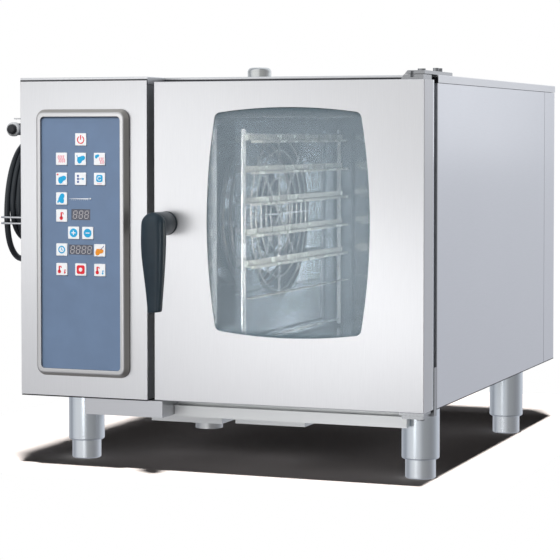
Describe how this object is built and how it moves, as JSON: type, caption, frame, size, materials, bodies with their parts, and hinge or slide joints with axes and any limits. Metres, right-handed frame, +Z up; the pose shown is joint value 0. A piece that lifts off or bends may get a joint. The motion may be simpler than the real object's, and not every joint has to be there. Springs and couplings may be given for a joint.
{
  "type": "combi steamer oven",
  "caption": "Counter-top combi steamer oven: steel cabinet on adjustable legs, side control column, glazed right-hung door with lever latch, fan-forced rack cavity and hand shower.",
  "frame": {"origin": "on the floor, under the centre of the envelope of everything but the shower hose", "axes": "+X to the oven's right seen from the front, +Y to its back, +Z up"},
  "size_m": [0.981, 1.226, 0.852],
  "materials": {
    "casing_steel": "brushed stainless steel",
    "door_steel": "brushed stainless steel",
    "bezel_steel": "polished stainless steel",
    "leg_steel": "satin stainless steel",
    "cavity_steel": "bright stainless steel",
    "hinge_steel": "satin stainless steel",
    "rack_steel": "polished stainless wire",
    "heater_steel": "heat-tinted sheathed element",
    "pan_steel": "galvanised and stainless sheet",
    "motor_casting": "cast",
    "keypad_blue": "satin blue-grey overlay",
    "key_white": "satin white",
    "display_black": "dark display window",
    "handle_black": "fine-grained black",
    "gun_black": "satin black",
    "trigger_grey": "satin grey",
    "hose_rubber": "smooth black rubber hose",
    "gasket_rubber": "black silicone",
    "window_glass": "grey-tinted toughened glass",
    "insulation_wool": "mineral wool blanket",
    "board_green": "circuit board",
    "fitting_brass": "plated fittings",
    "filter_grey": "satin grey"
  },
  "bodies": {
    "cabinet": {"air_filter": "filter_grey", "base_frame": "pan_steel", "bottom_pan": "pan_steel", "cavity_liner": "cavity_steel", "control_board": "board_green", "control_front": "casing_steel", "door_gasket": "gasket_rubber", "drain_trap": "pan_steel", "drip_tray": "pan_steel", "fan_guard": "rack_steel", "fan_motor": "motor_casting", "front_frame": "casing_steel", "heating_element": "heater_steel", "hinge_brackets": "hinge_steel", "hose_bracket": "rack_steel", "hose_coil": "hose_rubber", "hose_lead": "hose_rubber", "insulation_blanket": "insulation_wool", "keypad_plate": "keypad_blue", "latch_striker": "hinge_steel", "led_displays": "display_black", "left_side_panel": "casing_steel", "leg_tubes": "leg_steel", "panel_bezel": "bezel_steel", "pipe_fittings": "fitting_brass", "rear_panel": "casing_steel", "right_side_panel": "casing_steel", "side_racks": "rack_steel", "spray_gun": "gun_black", "top_cover": "casing_steel", "vent_chimney": "leg_steel"},
    "door": {"door_shell": "door_steel", "door_inner_liner": "door_steel", "outer_glass": "window_glass", "inner_glass": "window_glass", "hinge_pivots": "hinge_steel"},
    "handle": {"door_handle": "handle_black", "latch_hook": "hinge_steel"},
    "fan": {"fan_wheel": "cavity_steel"},
    "trigger": {"spray_trigger": "trigger_grey"},
    "foot_front_left_body": {"foot_front_left": "leg_steel"},
    "foot_front_right_body": {"foot_front_right": "leg_steel"},
    "foot_rear_left_body": {"foot_rear_left": "leg_steel"},
    "foot_rear_right_body": {"foot_rear_right": "leg_steel"},
    "key_power_body": {"key_power": "key_white"},
    "key_hot_air_body": {"key_hot_air": "key_white"},
    "key_steam_body": {"key_steam": "key_white"},
    "key_combi_body": {"key_combi": "key_white"},
    "key_low_steam_body": {"key_low_steam": "key_white"},
    "key_fan_speed_body": {"key_fan_speed": "key_white"},
    "key_cooldown_body": {"key_cooldown": "key_white"},
    "key_humidity_body": {"key_humidity": "key_white"},
    "key_temperature_body": {"key_temperature": "key_white"},
    "key_plus_body": {"key_plus": "key_white"},
    "key_minus_body": {"key_minus": "key_white"},
    "key_timer_body": {"key_timer": "key_white"},
    "key_core_probe_body": {"key_core_probe": "key_white"},
    "key_probe_low_body": {"key_probe_low": "key_white"},
    "key_start_stop_body": {"key_start_stop": "key_white"},
    "key_probe_high_body": {"key_probe_high": "key_white"}
  },
  "joints": [
    {"name": "door_hinge", "type": "hinge", "parent": "cabinet", "child": "door", "pos_m": [0.4715, -0.491, 0.48], "axis": [0, 0, 1], "range_deg": [0, 120]},
    {"name": "handle_turn", "type": "hinge", "parent": "door", "child": "handle", "pos_m": [-0.0685, -0.551, 0.521], "axis": [0, -1, 0], "range_deg": [0, 90]},
    {"name": "fan_spin", "type": "hinge", "parent": "cabinet", "child": "fan", "pos_m": [-0.0545, -0.131, 0.528], "axis": [1, 0, 0], "continuous": true},
    {"name": "trigger_squeeze", "type": "hinge", "parent": "cabinet", "child": "trigger", "pos_m": [-0.4605, -0.367, 0.732], "axis": [1, 0, 0], "range_deg": [0, 5], "stiffness_Nm_per_rad": 5},
    {"name": "foot_front_left_screw", "type": "slide", "parent": "cabinet", "child": "foot_front_left_body", "axis": [0, 0, -1], "range_m": [0, 0.022]},
    {"name": "foot_front_right_screw", "type": "slide", "parent": "cabinet", "child": "foot_front_right_body", "axis": [0, 0, -1], "range_m": [0, 0.022]},
    {"name": "foot_rear_left_screw", "type": "slide", "parent": "cabinet", "child": "foot_rear_left_body", "axis": [0, 0, -1], "range_m": [0, 0.022]},
    {"name": "foot_rear_right_screw", "type": "slide", "parent": "cabinet", "child": "foot_rear_right_body", "axis": [0, 0, -1], "range_m": [0, 0.022]},
    {"name": "key_power_press", "type": "slide", "parent": "cabinet", "child": "key_power_body", "axis": [0, 1, 0], "range_m": [0, 0.001], "stiffness_N_per_m": 1500},
    {"name": "key_hot_air_press", "type": "slide", "parent": "cabinet", "child": "key_hot_air_body", "axis": [0, 1, 0], "range_m": [0, 0.001], "stiffness_N_per_m": 1500},
    {"name": "key_steam_press", "type": "slide", "parent": "cabinet", "child": "key_steam_body", "axis": [0, 1, 0], "range_m": [0, 0.001], "stiffness_N_per_m": 1500},
    {"name": "key_combi_press", "type": "slide", "parent": "cabinet", "child": "key_combi_body", "axis": [0, 1, 0], "range_m": [0, 0.001], "stiffness_N_per_m": 1500},
    {"name": "key_low_steam_press", "type": "slide", "parent": "cabinet", "child": "key_low_steam_body", "axis": [0, 1, 0], "range_m": [0, 0.001], "stiffness_N_per_m": 1500},
    {"name": "key_fan_speed_press", "type": "slide", "parent": "cabinet", "child": "key_fan_speed_body", "axis": [0, 1, 0], "range_m": [0, 0.001], "stiffness_N_per_m": 1500},
    {"name": "key_cooldown_press", "type": "slide", "parent": "cabinet", "child": "key_cooldown_body", "axis": [0, 1, 0], "range_m": [0, 0.001], "stiffness_N_per_m": 1500},
    {"name": "key_humidity_press", "type": "slide", "parent": "cabinet", "child": "key_humidity_body", "axis": [0, 1, 0], "range_m": [0, 0.001], "stiffness_N_per_m": 1500},
    {"name": "key_temperature_press", "type": "slide", "parent": "cabinet", "child": "key_temperature_body", "axis": [0, 1, 0], "range_m": [0, 0.001], "stiffness_N_per_m": 1500},
    {"name": "key_plus_press", "type": "slide", "parent": "cabinet", "child": "key_plus_body", "axis": [0, 1, 0], "range_m": [0, 0.001], "stiffness_N_per_m": 1500},
    {"name": "key_minus_press", "type": "slide", "parent": "cabinet", "child": "key_minus_body", "axis": [0, 1, 0], "range_m": [0, 0.001], "stiffness_N_per_m": 1500},
    {"name": "key_timer_press", "type": "slide", "parent": "cabinet", "child": "key_timer_body", "axis": [0, 1, 0], "range_m": [0, 0.001], "stiffness_N_per_m": 1500},
    {"name": "key_core_probe_press", "type": "slide", "parent": "cabinet", "child": "key_core_probe_body", "axis": [0, 1, 0], "range_m": [0, 0.001], "stiffness_N_per_m": 1500},
    {"name": "key_probe_low_press", "type": "slide", "parent": "cabinet", "child": "key_probe_low_body", "axis": [0, 1, 0], "range_m": [0, 0.001], "stiffness_N_per_m": 1500},
    {"name": "key_start_stop_press", "type": "slide", "parent": "cabinet", "child": "key_start_stop_body", "axis": [0, 1, 0], "range_m": [0, 0.001], "stiffness_N_per_m": 1500},
    {"name": "key_probe_high_press", "type": "slide", "parent": "cabinet", "child": "key_probe_high_body", "axis": [0, 1, 0], "range_m": [0, 0.001], "stiffness_N_per_m": 1500}
  ]
}
